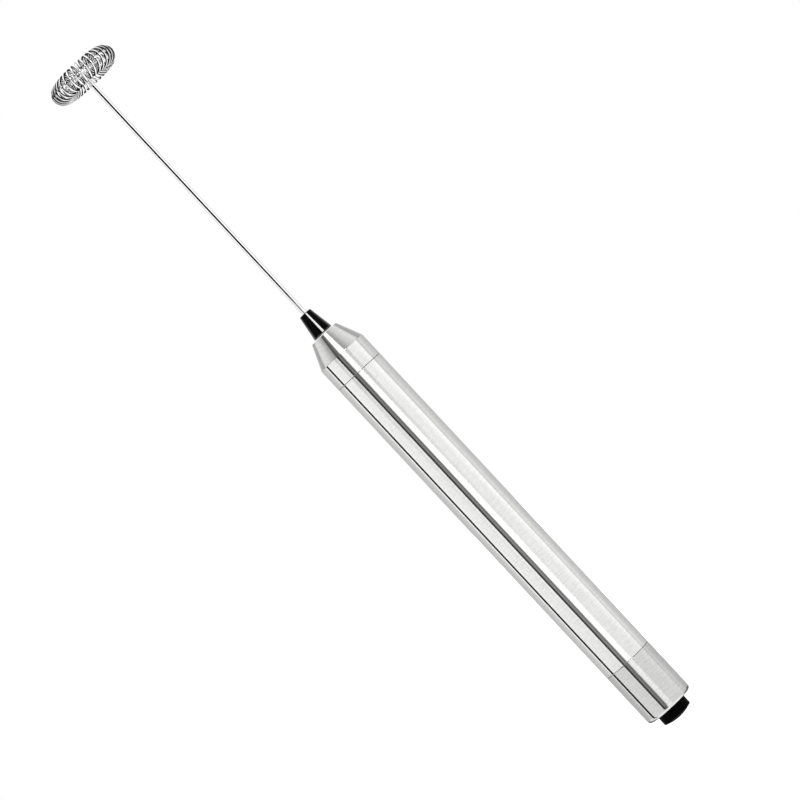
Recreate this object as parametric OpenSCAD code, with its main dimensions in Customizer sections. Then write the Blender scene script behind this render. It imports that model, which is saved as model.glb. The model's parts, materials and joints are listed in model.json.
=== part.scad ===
// Slim battery milk frother: a round steel handle with a push button in its end cap,
// a small motor behind the conical nose, and a coil whisk at the end of a long wire.
// All pieces are turned or placed about the Z axis. Z = 0 is the crown of the button,
// and the whisk points up. Lengths are in millimetres.

/* [Handle] */
// Outer diameter of the tube, the end cap and the collar of the nose
handle_d = 17.9; // [17.4:0.1:19]
// Visible length of the main tube
tube_length = 126.5; // [126.3:0.1:140]
// Wall of the main tube
tube_wall = 0.5; // [0.4:0.05:0.55]
// Wall of the end cap and of the nose cap
shell_wall = 0.8; // [0.7:0.05:0.85]
// Height of the end cap
cap_height = 20.3; // [20:0.1:22]
// Radius of the rounded rim of the end cap
cap_rim_r = 1.4; // [0.6:0.1:1.8]
// Height of the straight collar of the nose
collar_height = 8.2; // [7.8:0.1:9]
// Height of the cone of the nose
cone_height = 8.5; // [8.2:0.1:9.5]
// Diameter of the nose at its front face
nose_front_d = 10.6; // [10.4:0.1:12]
// Gap at the seams between the tube, the cap and the nose
seam_gap = 0.1; // [0.05:0.01:0.2]

/* [Button] */
// Diameter of the button
button_d = 11; // [10.4:0.1:11.4]
// How far the button stands out of the end cap
button_stand = 4.5; // [3:0.1:4.8]
// Height of the domed crown of the button
crown_height = 1.1; // [0.6:0.1:1.4]
// How far the button travels
button_travel = 1.8; // [1:0.1:1.8]

/* [Batteries] */
// Diameter of an AA cell over its jacket
cell_d = 14.1; // [13.7:0.1:14.3]
// Length of an AA cell with its terminal
cell_length = 50.5; // [49.5:0.1:50.5]
// Diameter of the raised terminal of a cell
terminal_d = 5.5; // [5:0.1:5.5]

/* [Motor] */
// Diameter of the motor
motor_d = 15; // [14.6:0.1:15.1]
// Diameter of the motor's shaft
shaft_d = 2; // [1.8:0.1:2.1]
// Radial running clearance of the shaft in its bushes
running_gap = 0.03; // [0.02:0.01:0.06]
// Diameter of the armature
armature_d = 10.4; // [10:0.1:10.6]

/* [Whisk] */
// Length of the black shaft coupling
coupling_length = 8.7; // [8:0.1:10]
// Diameter of the coupling at the nose
coupling_wide_d = 7.2; // [6.6:0.1:8]
// Diameter of the coupling at the wire
coupling_narrow_d = 4.5; // [3.6:0.1:5]
// Length of bare wire between the coupling and the plane of the whisk
wire_reach = 105.1; // [80:0.1:130]
// Diameter of the wire
wire_d = 1.8; // [1.3:0.1:1.9]
// Diameter over the whole whisk
whisk_d = 25.7; // [25:0.1:27]
// Diameter over one turn of the coil
coil_d = 7.6; // [7:0.1:7.8]
// Diameter of the wire of the coil
coil_wire_d = 0.75; // [0.5:0.05:0.8]
// Number of turns in the coil
coil_turns = 34; // [28:1:38]

/* [Hidden] */
$fn = 96;

// Clearances
slip = 0.05;        // between pieces that are pushed or glued together
slide_gap = 0.07;   // between the plunger and its guide
button_gap = 0.12;  // round the button in the end cap
tiny = 0.01;        // how far a cutter passes the face that it cuts

// Heights of the outer pieces, from the button up
cap_z0 = button_stand;
cap_z1 = cap_z0 + cap_height;
tube_z0 = cap_z1 + seam_gap;
tube_z1 = tube_z0 + tube_length;
nose_z0 = tube_z1 + seam_gap;
shoulder_z = nose_z0 + collar_height;
nose_z1 = shoulder_z + cone_height;
coupling_gap = 0.4;
coupling_z0 = nose_z1 + coupling_gap;
coupling_z1 = coupling_z0 + coupling_length;
whisk_z = coupling_z1 + wire_reach;

// Radii of the outer pieces
handle_r = handle_d / 2;
tube_bore_r = handle_r - tube_wall;
shell_bore_r = handle_r - shell_wall;
nose_front_r = nose_front_d / 2;
cone_slope = (handle_r - nose_front_r) / cone_height;
front_hole_r = 3;

// Switch in the end cap
cap_floor = 1;
button_r = button_d / 2;
button_floor_z = 2.4;
flange_r = button_r + 1;
flange_z = cap_z0 + cap_floor + slip;
flange_height = 1.2;
housing_r = shell_bore_r - slip;
housing_wall = 0.9;
web_z = cap_z0 + 7;
web_height = 1.5;
stem_r = 1.15;
bridge_z = web_z + 4;
bridge_height = 0.5;
contact_z = bridge_z + bridge_height + button_travel + slip;
strip_t = 0.35;
strip_w = 2.4;
holder_z1 = contact_z + strip_t + 2.7;
plate_t = 0.4;
leg_x = housing_r - 1.15;
leg_t = 0.25;
riser_x = leg_x - 2.2;
contact_x = 2.4;

// Plug that fits the tube, with its rings
plug_z1 = tube_z0 + 7.5;
plug_r = tube_bore_r - 0.15;
plug_bore_r = 6.6;
ring_height = 0.4;
ring_z = plug_z1 - ring_height;
contact_ring_bore_r = cell_d / 2 + 0.35;
jog_z = ring_z - 1.2;
o_ring_r = 0.45;
o_ring_z = [tube_z0 + 1.9, tube_z0 + 4.4];
o_ring_path_r = tube_bore_r - slip - o_ring_r;

// Batteries and their sleeve
cell_r = cell_d / 2;
lower_cell_z = plug_z1 - 1.05;
upper_cell_z = lower_cell_z + cell_length;
cells_z1 = upper_cell_z + cell_length;
jacket_t = 0.12;
cup_height = cell_length - 1.5;
sleeve_r = tube_bore_r - 0.1;
sleeve_bore_r = cell_r + 0.3;
sleeve_z0 = plug_z1 + 0.6;
strip_x = sleeve_r - 0.25;
return_w = 3;
strip_channel_w = 3.4;

// Motor, its carrier behind it and its mount in the nose
contact_t = 0.3;
carrier_z0 = cells_z1 + contact_t;
carrier_floor = 1.5;
motor_r = motor_d / 2;
motor_z1 = shoulder_z - 1.3;
motor_length = 21.4;
motor_z0 = motor_z1 - motor_length;
motor_wall = 0.5;
motor_bore_r = motor_r - motor_wall;
can_front = 0.8;
carrier_z1 = motor_z0 + 4.2;
mount_z0 = carrier_z1 + 0.4;
web_top_z = motor_z1 + 2.2;
seal_z0 = nose_z1 - 4.9;
seal_r = front_hole_r - 0.1;
screw_circle_r = 5;
screw_r = 0.8;
screw_head_r = 1.5;
bush_r = 2.5;
rear_bush_r = 2;
shaft_r = shaft_d / 2;
bush_bore_r = shaft_r + running_gap;
terminal_x = 4.15;
terminal_t = 0.3;

// Rotor
core_r = armature_d / 2;
core_z0 = motor_z0 + 8;
core_height = 8;
winding_x = 2.5;
winding_t = 1.2;
winding_w = 4.4;
winding_over = 1.2;
shoe_t = 0.7;
poles = 3;
commutator_r = 2.3;
commutator_z0 = motor_z0 + 2.4;
commutator_height = 2.6;
hub_r = 1.6;

// Whisk
wire_r = wire_d / 2;
coil_wire_r = coil_wire_d / 2;
coil_path_r = coil_d / 2 - coil_wire_r;
coil_ring_r = whisk_d / 2 - coil_d / 2;
hoop_r = coil_ring_r - coil_path_r + coil_wire_r + wire_r + slip;
elbow_r = 2;
corner_r = 1.2;
hoop_end_gap = 9;
wide_turn = 30;
socket_z = coupling_z0 + 4.6;

// ---- General shapes ----

// A solid disc or cylinder between two heights
module disc(r, z0, z1) {
    translate([0, 0, z0]) cylinder(r = r, h = z1 - z0);
}

// A straight-walled ring between two heights
module ring(r_out, r_in, z0, z1) {
    difference() {
        disc(r_out, z0, z1);
        disc(r_in, z0 - tiny, z1 + tiny);
    }
}

// A straight cone between two heights
module cone(r0, r1, z0, z1) {
    translate([0, 0, z0]) cylinder(r1 = r0, r2 = r1, h = z1 - z0);
}

// A ring of round section
module round_ring(path_r, section_r, z) {
    translate([0, 0, z]) rotate_extrude() translate([path_r, 0]) circle(r = section_r, $fn = 32);
}

// A block between x0 and x1 that is centred on Y
module block(x0, x1, width, z0, z1) {
    translate([x0, -width / 2, z0]) cube([x1 - x0, width, z1 - z0]);
}

// A wedge of the space around the Z axis, half_angle each side of +X
module wedge(half_angle, reach, z0, z1) {
    far = reach * 2;
    translate([0, 0, z0]) linear_extrude(height = z1 - z0) polygon([
        [0, 0],
        [far * cos(half_angle), -far * sin(half_angle)],
        [far * 1.5, 0],
        [far * cos(half_angle), far * sin(half_angle)]
    ]);
}

function unit(v) = v / norm(v);

// Direction of a path at one of its points
function heading(path, i, closed) =
    let (last = len(path) - 1)
    let (before = closed ? (i + last) % (last + 1) : max(i - 1, 0))
    let (after = closed ? (i + 1) % (last + 1) : min(i + 1, last))
    unit(path[after] - path[before]);

// A wire along a path. across holds, for each point, a direction that isn't along the path.
module wire(path, across, r, sides, closed = false) {
    count = len(path);
    points = [
        for (i = [0:count - 1])
            let (along = heading(path, i, closed))
            let (u = unit(across[i] - along * (across[i] * along)))
            let (v = cross(along, u))
            for (k = [0:sides - 1])
                path[i] + r * (cos(k * 360 / sides) * u + sin(k * 360 / sides) * v)
    ];
    spans = closed ? count : count - 1;
    walls = [
        for (i = [0:spans - 1])
            let (a = i * sides)
            let (b = ((i + 1) % count) * sides)
            for (k = [0:sides - 1])
                let (n = (k + 1) % sides)
                each [[a + k, b + k, b + n], [a + k, b + n, a + n]]
    ];
    first_end = [[for (k = [0:sides - 1]) k]];
    last_end = [[for (k = [sides - 1:-1:0]) (count - 1) * sides + k]];
    polyhedron(points, closed ? walls : concat(first_end, walls, last_end));
}

// A wound spring about Z. Its end turns lie flat, and its radius may taper.
module spring(r0, r1, z0, z1, turns, wire_radius, steps = 14, sides = 6) {
    dead = 1;
    low = z0 + wire_radius;
    high = z1 - wire_radius;
    close_rise = 2 * wire_radius * 1.08;
    active = turns - 2 * dead;
    rise = (high - low - 2 * dead * close_rise) / active;
    count = round(turns * steps);
    path = [
        for (i = [0:count])
            let (turn = i / steps)
            let (z = turn < dead ? turn * close_rise
                : turn > turns - dead ? high - low - (turns - turn) * close_rise
                : dead * close_rise + (turn - dead) * rise)
            let (r = r0 + (r1 - r0) * i / count)
            [r * cos(turn * 360), r * sin(turn * 360), low + z]
    ];
    wire(path, [for (p = path) [p[0], p[1], 0]], wire_radius, sides);
}

// ---- Handle ----

module main_tube() {
    color("silver") ring(handle_r, tube_bore_r, tube_z0, tube_z1);
}

// Plastic lining that holds the two cells, with a channel for the return strip
module battery_sleeve() {
    color("whitesmoke") difference() {
        ring(sleeve_r, sleeve_bore_r, sleeve_z0, cells_z1 - slip);
        block(-handle_r, -strip_x + slip, strip_channel_w, sleeve_z0 - tiny, cells_z1 + tiny);
    }
}

// Spring-steel strip that brings the current from the cap back to the motor
module return_strip() {
    back_t = 0.2;
    foot_t = 0.25;
    lap = 0.02;
    foot_z0 = plug_z1 + lap;
    color("gold") {
        block(-strip_x - back_t, -strip_x + lap, return_w, foot_z0, motor_z0 - 0.5);
        block(-strip_x + lap, -contact_ring_bore_r, return_w, foot_z0, foot_z0 + foot_t);
    }
}

// Insulated lead from the strip to the motor
module return_lead() {
    lead_r = 0.45;
    lead_x = -strip_x + 0.03;
    lead_z = motor_z0 - 1.6;
    color("black") translate([lead_x, 0, lead_z])
        rotate([0, 90, 0]) cylinder(r = lead_r, h = -lead_x - terminal_x - terminal_t, $fn = 32);
}

// Plate that the upper cell's terminal presses on, with a tab up to the motor
module front_contact() {
    front_plate_r = 5;
    color("gold") {
        disc(front_plate_r, cells_z1, carrier_z0);
        block(terminal_x - terminal_t, terminal_x, strip_w, carrier_z0 - tiny, motor_z0 - slip);
    }
}

// Plastic cup between the cells and the motor
module motor_carrier() {
    tab_clearance = 0.2;
    color("dimgray") difference() {
        disc(tube_bore_r - 0.15, carrier_z0, carrier_z1);
        disc(motor_r + slip, carrier_z0 + carrier_floor, carrier_z1 + tiny);
        block(-handle_r, -motor_r, strip_channel_w, carrier_z0 - tiny, carrier_z1 + tiny);
        block(terminal_x - terminal_t - tab_clearance, terminal_x + tab_clearance,
            strip_w + 2 * tab_clearance, carrier_z0 - tiny, carrier_z1);
    }
}

// Screw holes through the front of the motor and its mount
module at_screws() {
    for (side = [90, 270])
        rotate([0, 0, side]) translate([screw_circle_r, 0, 0]) children();
}

// Plastic mount that fills the nose, plugs into the tube and carries the motor
module motor_mount() {
    spigot_r = tube_bore_r - 0.1;
    collar_r = shell_bore_r - slip;
    cone_z0 = shoulder_z - shell_wall * 0.2;
    cone_z1 = nose_z1 - 1 - slip;
    tip_r = collar_r - cone_slope * (cone_z1 - cone_z0);
    color("dimgray") difference() {
        union() {
            disc(spigot_r, mount_z0, nose_z0 - seam_gap);
            disc(collar_r, nose_z0 - seam_gap - tiny, cone_z0);
            cone(collar_r, tip_r, cone_z0, cone_z1);
        }
        disc(motor_r + slip, mount_z0 - tiny, motor_z1);
        disc(bush_r + slip, motor_z1 - tiny, web_top_z);
        disc(bush_bore_r + 0.5, web_top_z - tiny, nose_z1);
        disc(seal_r + slip, seal_z0, nose_z1);
        at_screws() disc(screw_r + 0.1, motor_z1 - tiny, nose_z1);
        at_screws() disc(screw_head_r + 0.1, web_top_z, nose_z1);
    }
}

// Drawn steel shell of the nose: a collar, a cone and a flat front with a hole
module nose_cap() {
    front_t = 1;
    cone_z0 = shoulder_z - shell_wall * 0.2;
    cone_z1 = nose_z1 - front_t;
    bevel = 0.25;
    color("silver") difference() {
        union() {
            disc(handle_r, nose_z0, shoulder_z);
            cone(handle_r, nose_front_r + cone_slope * bevel, shoulder_z, nose_z1 - bevel);
            cone(nose_front_r + cone_slope * bevel, nose_front_r - bevel, nose_z1 - bevel, nose_z1);
        }
        disc(shell_bore_r, nose_z0 - tiny, cone_z0);
        cone(shell_bore_r, shell_bore_r - cone_slope * (cone_z1 - cone_z0), cone_z0 - tiny, cone_z1);
        disc(front_hole_r, cone_z1 - tiny, nose_z1 + tiny);
    }
}

// Rubber seal round the shaft, under the coupling
module nose_seal() {
    lip = 0.8;
    color("black") difference() {
        disc(seal_r, seal_z0 + slip, nose_z1 - 0.2);
        disc(shaft_r + 0.1, seal_z0, nose_z1);
        ring(seal_r - lip, shaft_r + lip, nose_z1 - 1.6, nose_z1);
    }
}

module motor_screws() {
    head_z1 = web_top_z + 1.1;
    slot_w = 0.4;
    slot_depth = 0.5;
    color("silver") at_screws() difference() {
        union() {
            disc(screw_r - 0.03, motor_z1 - can_front - 0.6, web_top_z + slip + tiny);
            disc(screw_head_r, web_top_z + slip, head_z1);
        }
        for (turned = [0, 90])
            rotate([0, 0, turned])
                block(-screw_head_r, screw_head_r, slot_w, head_z1 - slot_depth, head_z1 + tiny);
    }
}

// ---- Motor, fixed side ----

module motor_can() {
    color("lightgray") difference() {
        disc(motor_r, motor_z0, motor_z1);
        disc(motor_bore_r, motor_z0 - tiny, motor_z1 - can_front);
        disc(bush_r, motor_z1 - can_front - tiny, motor_z1 + tiny);
        at_screws() disc(screw_r, motor_z1 - can_front - tiny, motor_z1 + tiny);
    }
}

// Plastic cover at the back of the motor
module motor_end_bell() {
    bell_height = 1.6;
    boss_r = 3.2;
    boss_wall = 0.2;
    color("ivory") difference() {
        union() {
            disc(motor_bore_r - slip, motor_z0, motor_z0 + bell_height);
            disc(boss_r, motor_z0 - bell_height, motor_z0 + tiny);
        }
        disc(rear_bush_r + tiny, motor_z0 - bell_height + boss_wall, motor_z0 + bell_height + tiny);
        disc(shaft_r + 0.3, motor_z0 - bell_height - tiny, motor_z0);
        for (side = [0, 180])
            rotate([0, 0, side])
                block(terminal_x - slip, terminal_x + terminal_t + slip, strip_w + 2 * slip,
                    motor_z0 - tiny, motor_z0 + bell_height + tiny);
    }
}

module motor_terminals() {
    color("gold") for (side = [0, 180])
        rotate([0, 0, side])
            block(terminal_x, terminal_x + terminal_t, strip_w, motor_z0 - 2.4, commutator_z0 + 1.7);
}

// Carbon blocks that bear on the commutator
module brushes() {
    contact_gap = 0.06;
    color("darkslategray") for (side = [0, 180])
        rotate([0, 0, side])
            block(commutator_r + contact_gap, terminal_x, 1, commutator_z0 + 0.4, commutator_z0 + 1.6);
}

module magnets() {
    air_gap = 0.35;
    overhang = 2;
    half_angle = 68;
    z0 = core_z0 - overhang;
    z1 = core_z0 + core_height + overhang;
    color("dimgray") for (side = [0, 180])
        rotate([0, 0, side]) intersection() {
            ring(motor_bore_r - slip, core_r + air_gap, z0, z1);
            wedge(half_angle, handle_r, z0 - tiny, z1 + tiny);
        }
}

module bush(r_out, z0, z1) {
    color("goldenrod") ring(r_out, bush_bore_r, z0, z1);
}

module front_bearing() {
    bush(bush_r - tiny, motor_z1 - can_front - 1, motor_z1 + 1.5);
}

module rear_bearing() {
    bush(rear_bush_r - tiny, motor_z0 - 1.4, motor_z0 + 1.4);
}

// ---- Motor, turning side ----

module rotor_shaft() {
    color("silver") disc(shaft_r, motor_z0 - 1.35, socket_z - 0.6);
}

// Laminated core with three poles, each a neck and a curved shoe
module armature_core() {
    neck_w = 1.9;
    boss_r = 2;
    shoe_half_angle = 52;
    top = core_z0 + core_height;
    color("slategray") difference() {
        union() {
            disc(boss_r, core_z0, top);
            for (pole = [0:poles - 1])
                rotate([0, 0, pole * 360 / poles]) {
                    block(0, core_r - shoe_t / 2, neck_w, core_z0, top);
                    intersection() {
                        ring(core_r, core_r - shoe_t, core_z0, top);
                        wedge(shoe_half_angle, handle_r, core_z0, top);
                    }
                }
        }
        disc(shaft_r + tiny, core_z0 - tiny, top + tiny);
    }
}

// One copper winding round each neck of the core
module armature_windings() {
    neck_hole_w = 2;
    color("peru") for (pole = [0:poles - 1])
        rotate([0, 0, pole * 360 / poles]) difference() {
            block(winding_x, winding_x + winding_t, winding_w,
                core_z0 - winding_over, core_z0 + core_height + winding_over);
            block(winding_x - tiny, winding_x + winding_t + tiny, neck_hole_w,
                core_z0 - slip, core_z0 + core_height + slip);
        }
}

// Three copper segments, with a slot between each pair
module commutator() {
    slot_angle = 5;
    color("peru") for (pole = [0:poles - 1])
        rotate([0, 0, (pole + 0.5) * 360 / poles]) intersection() {
            ring(commutator_r, hub_r, commutator_z0, commutator_z0 + commutator_height);
            wedge(60 - slot_angle, handle_r, commutator_z0, commutator_z0 + commutator_height);
        }
}

module commutator_hub() {
    collar = 0.5;
    z1 = commutator_z0 + commutator_height;
    color("saddlebrown") difference() {
        union() {
            disc(hub_r - tiny, commutator_z0, z1);
            disc(commutator_r, z1, z1 + collar);
        }
        disc(shaft_r + tiny, commutator_z0 - tiny, z1 + collar + tiny);
    }
}

module thrust_washers() {
    washer_r = 1.9;
    washer_t = 0.4;
    play = 0.1;
    rear_z1 = commutator_z0 - play;
    front_z1 = motor_z1 - can_front - 1 - play;
    color("white") {
        ring(washer_r, shaft_r + tiny, rear_z1 - washer_t, rear_z1);
        ring(washer_r, shaft_r + tiny, front_z1 - washer_t, front_z1);
    }
}

// ---- Whisk ----

// Tapered coupling that joins the motor's shaft to the wire
module shaft_coupling() {
    lip = 0.3;
    narrow_r = coupling_narrow_d / 2;
    color("#151515") difference() {
        union() {
            cone(coupling_wide_d / 2, narrow_r + lip / 3, coupling_z0, coupling_z1 - lip);
            cone(narrow_r + lip / 3, narrow_r - lip / 2, coupling_z1 - lip, coupling_z1);
        }
        disc(shaft_r, coupling_z0 - tiny, socket_z - 0.6);
        disc(wire_r, socket_z, coupling_z1 + tiny);
    }
}

// Points along an arc about a centre, turning from direction u towards direction v
function arc(centre, u, v, r, sweep, first, steps) = [
    for (i = [first:steps]) let (a = sweep * i / steps) centre + r * (cos(a) * u + sin(a) * v)
];

// One wire: straight shaft, elbow, spoke, corner and the hoop that holds the coil
module whisk_wire() {
    hub = hoop_r - corner_r;
    corner_x = sqrt(hub * hub - corner_r * corner_r);
    start = atan2(corner_r, corner_x);
    corner = [corner_x, corner_r, whisk_z];
    centre = [0, 0, whisk_z];
    elbow_path = arc([elbow_r, 0, whisk_z - elbow_r], [-1, 0, 0], [0, 0, 1], elbow_r, 90, 0, 6);
    corner_path = arc(corner, [0, -1, 0], [1, 0, 0], corner_r, 90 + start, 0, 7);
    hoop_path = arc(centre, [cos(start), sin(start), 0], [-sin(start), cos(start), 0],
        hoop_r, 360 - hoop_end_gap - start, 1, 56);
    color("gainsboro") wire(
        concat([[0, 0, socket_z]], elbow_path, corner_path, hoop_path),
        concat(
            [for (i = [0:len(elbow_path)]) [0, 1, 0]],
            [for (p = corner_path) corner - p],
            [for (p = hoop_path) centre - p]
        ),
        wire_r, 14
    );
}

// Angle round the hoop of a place along the coil, in turns. One wide turn bridges the spoke.
function coil_angle(turn) =
    let (even = (360 - wide_turn) / (coil_turns - 1))
    turn < 1 ? wide_turn * (turn - 0.5) : wide_turn / 2 + even * (turn - 1);

// Close-wound coil that is bent into a ring round the hoop
module whisk_coil() {
    steps = 16;
    sides = 6;
    count = coil_turns * steps;
    spoke_side = 2;
    turns_at = [for (i = [0:count - 1]) i / steps];
    around = [for (t = turns_at) coil_angle(t) + spoke_side];
    outward = [
        for (i = [0:count - 1])
            let (turned = 180 + turns_at[i] * 360)
            [cos(around[i]) * cos(turned), sin(around[i]) * cos(turned), sin(turned)]
    ];
    path = [
        for (i = [0:count - 1])
            [coil_ring_r * cos(around[i]), coil_ring_r * sin(around[i]), whisk_z]
                + coil_path_r * outward[i]
    ];
    color("lightgray") wire(path, outward, coil_wire_r, sides, closed = true);
}

// ---- End cap ----

module end_cap_shell() {
    color("silver") difference() {
        union() {
            disc(handle_r, cap_z0 + cap_rim_r, cap_z1);
            disc(handle_r - cap_rim_r, cap_z0, cap_z1);
            round_ring(handle_r - cap_rim_r, cap_rim_r, cap_z0 + cap_rim_r);
        }
        disc(shell_bore_r, cap_z0 + cap_floor, cap_z1 + tiny);
        disc(button_r + button_gap, cap_z0 - tiny, cap_z0 + cap_floor + tiny);
    }
}

// Path of the ring contact, from the switch up to the contact ring
module ring_contact_leg(grow) {
    width = strip_w + 2 * grow;
    outer_x = leg_x + 0.8;
    block(-leg_x - grow, -leg_x + leg_t + grow, width, contact_z - grow, jog_z + leg_t + grow);
    block(-outer_x - grow, -leg_x + leg_t + grow, width, jog_z - grow, jog_z + leg_t + grow);
    block(-outer_x - grow, -outer_x + leg_t + grow, width, jog_z - grow, ring_z + grow);
}

// Plastic plug that closes the tube and holds the battery spring
module cap_plug() {
    groove_w = 2 * o_ring_r + 0.1;
    color("dimgray") difference() {
        union() {
            disc(housing_r, holder_z1, cap_z1 + tiny);
            disc(plug_r, cap_z1, ring_z);
        }
        disc(plug_bore_r, holder_z1 - tiny, ring_z + tiny);
        disc(sleeve_bore_r, lower_cell_z - 0.2, ring_z + tiny);
        for (z = o_ring_z)
            ring(handle_r, o_ring_path_r - o_ring_r - tiny, z - groove_w / 2, z + groove_w / 2);
        ring_contact_leg(slip);
    }
}

module cap_o_rings() {
    color("black") for (z = o_ring_z)
        round_ring(o_ring_path_r, o_ring_r, z);
}

module cap_contact_ring() {
    color("gold") ring(plug_r, contact_ring_bore_r, ring_z, plug_z1);
}

// Plastic body of the switch: a skirt round the button, and a web that guides the plunger
module switch_housing() {
    color("ivory") difference() {
        disc(housing_r, cap_z0 + cap_floor, holder_z1);
        disc(housing_r - housing_wall, cap_z0 + cap_floor - tiny, web_z);
        disc(housing_r - housing_wall, web_z + web_height, holder_z1 + tiny);
        disc(stem_r + slide_gap, web_z - tiny, web_z + web_height + tiny);
        ring_contact_leg(slip);
    }
}

// Plastic disc that the two fixed contacts are held under
module contact_holder() {
    color("saddlebrown") difference() {
        disc(housing_r - housing_wall - slip, contact_z + strip_t, holder_z1);
        disc(stem_r + 1, contact_z, holder_z1 - 1);
        block(riser_x - slip, riser_x + strip_t + slip, strip_w + 2 * slip,
            contact_z, holder_z1 + tiny);
        ring_contact_leg(slip);
    }
}

module spring_contact() {
    color("gold") {
        block(contact_x, riser_x + strip_t, strip_w, contact_z, contact_z + strip_t);
        block(riser_x, riser_x + strip_t, strip_w, contact_z, holder_z1);
    }
}

module ring_contact() {
    color("gold") {
        block(-leg_x, -contact_x, strip_w, contact_z, contact_z + strip_t);
        ring_contact_leg(0);
    }
}

module spring_plate() {
    color("gold") disc(plug_bore_r - 0.2, holder_z1, holder_z1 + plate_t);
}

module battery_spring() {
    wide_r = 5.7;
    narrow_r = 3.2;
    color("gainsboro") spring(wide_r, narrow_r, holder_z1 + plate_t, lower_cell_z, turns = 6, wire_radius = 0.4);
}

// ---- Button ----

module button() {
    crown_r = (button_r * button_r + crown_height * crown_height) / (2 * crown_height);
    boss_r = 2;
    boss_height = 1.8;
    wall = 1;
    top = flange_z + flange_height;
    color("#151515") difference() {
        union() {
            intersection() {
                disc(button_r, 0, top);
                translate([0, 0, crown_r]) sphere(r = crown_r);
            }
            disc(button_r, crown_height + 0.5, top);
            disc(flange_r, flange_z, top);
        }
        ring(button_r - wall, boss_r, button_floor_z, top + tiny);
        disc(boss_r + tiny, button_floor_z + boss_height, top + tiny);
        disc(stem_r, button_floor_z, top + tiny);
    }
}

// Stem in the button that carries the moving contact
module button_plunger() {
    collar_r = 2.2;
    collar_t = 0.8;
    head_r = 1.7;
    head_t = 0.7;
    top = bridge_z + bridge_height + head_t;
    color("white") {
        disc(stem_r, button_floor_z, top);
        disc(collar_r, bridge_z - collar_t, bridge_z);
        disc(head_r, bridge_z + bridge_height, top);
    }
}

module contact_bridge() {
    bridge_r = 4.2;
    color("gold") ring(bridge_r, stem_r + tiny, bridge_z, bridge_z + bridge_height);
}

module button_spring() {
    path_r = 3.2;
    color("gainsboro") spring(path_r, path_r, button_floor_z, web_z, turns = 7, wire_radius = 0.22);
}

// ---- Batteries ----

module cell_can(z) {
    color("lightgray") disc(cell_r - jacket_t, z, z + cup_height);
}

// Plain plastic film round the can
module cell_jacket(z) {
    color("darkgreen") ring(cell_r, cell_r - jacket_t, z + 0.4, z + cup_height);
}

module cell_washer(z) {
    color("white") ring(cell_r - 0.9, terminal_d / 2 + tiny, z + cup_height, z + cup_height + 0.3);
}

module cell_terminal(z) {
    color("gainsboro") disc(terminal_d / 2, z + cup_height, z + cell_length);
}

main_tube();
battery_sleeve();
return_strip();
return_lead();
front_contact();
motor_carrier();
motor_mount();
nose_cap();
nose_seal();
motor_screws();
motor_can();
motor_end_bell();
motor_terminals();
brushes();
magnets();
front_bearing();
rear_bearing();
whisk_wire();
whisk_coil();
shaft_coupling();
rotor_shaft();
armature_core();
armature_windings();
commutator();
commutator_hub();
thrust_washers();
end_cap_shell();
cap_plug();
cap_o_rings();
cap_contact_ring();
switch_housing();
contact_holder();
spring_contact();
ring_contact();
spring_plate();
battery_spring();
button();
button_plunger();
contact_bridge();
button_spring();
cell_can(lower_cell_z);  // lower_cell_can
cell_jacket(lower_cell_z);  // lower_cell_jacket
cell_washer(lower_cell_z);  // lower_cell_washer
cell_terminal(lower_cell_z);  // lower_cell_terminal
cell_can(upper_cell_z);  // upper_cell_can
cell_jacket(upper_cell_z);  // upper_cell_jacket
cell_washer(upper_cell_z);  // upper_cell_washer
cell_terminal(upper_cell_z);  // upper_cell_terminal
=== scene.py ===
"""Looks of a slim battery milk frother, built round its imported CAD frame.

Everything is in metres, in the frame's own axes: +Z runs up the handle to the whisk.
Turned pieces are made by lathe() from an outline, and wires and springs by sweep() along a path.
"""

import json
import math

import bpy
import numpy as np
from mathutils import Matrix, Vector


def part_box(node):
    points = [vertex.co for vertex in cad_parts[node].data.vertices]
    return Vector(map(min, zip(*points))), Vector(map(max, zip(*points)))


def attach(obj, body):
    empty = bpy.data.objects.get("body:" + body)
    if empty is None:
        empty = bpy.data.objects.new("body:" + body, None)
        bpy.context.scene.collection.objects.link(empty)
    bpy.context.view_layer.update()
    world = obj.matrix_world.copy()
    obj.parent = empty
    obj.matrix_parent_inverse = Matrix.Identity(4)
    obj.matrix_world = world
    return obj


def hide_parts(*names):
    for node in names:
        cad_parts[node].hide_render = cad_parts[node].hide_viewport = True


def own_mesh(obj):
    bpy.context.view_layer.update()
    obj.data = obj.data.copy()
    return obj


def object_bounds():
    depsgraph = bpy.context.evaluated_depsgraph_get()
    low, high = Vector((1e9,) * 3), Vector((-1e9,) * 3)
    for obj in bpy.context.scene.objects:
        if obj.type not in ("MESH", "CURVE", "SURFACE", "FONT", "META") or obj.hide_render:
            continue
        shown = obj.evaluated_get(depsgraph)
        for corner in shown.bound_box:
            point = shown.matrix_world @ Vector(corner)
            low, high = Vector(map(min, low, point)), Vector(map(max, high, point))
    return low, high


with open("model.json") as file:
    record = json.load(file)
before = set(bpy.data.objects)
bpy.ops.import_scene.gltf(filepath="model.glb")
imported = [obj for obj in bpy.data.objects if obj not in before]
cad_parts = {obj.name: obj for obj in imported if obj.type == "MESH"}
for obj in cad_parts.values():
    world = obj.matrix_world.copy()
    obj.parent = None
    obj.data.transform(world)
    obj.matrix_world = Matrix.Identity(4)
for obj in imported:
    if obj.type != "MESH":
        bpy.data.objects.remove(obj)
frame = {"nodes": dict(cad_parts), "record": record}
cad_low, cad_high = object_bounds()

MM = 0.001
SEED = 7

# Sizes that the frame's boxes don't give, in metres

# Tube and nose: walls, radii of the front hole and of the cone's front, height of the collar
TUBE_WALL = 0.5 * MM
SHELL_WALL = 0.8 * MM
FRONT_HOLE = 3.0 * MM
CONE_FRONT = 5.3 * MM
COLLAR_HEIGHT = 8.2 * MM

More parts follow.
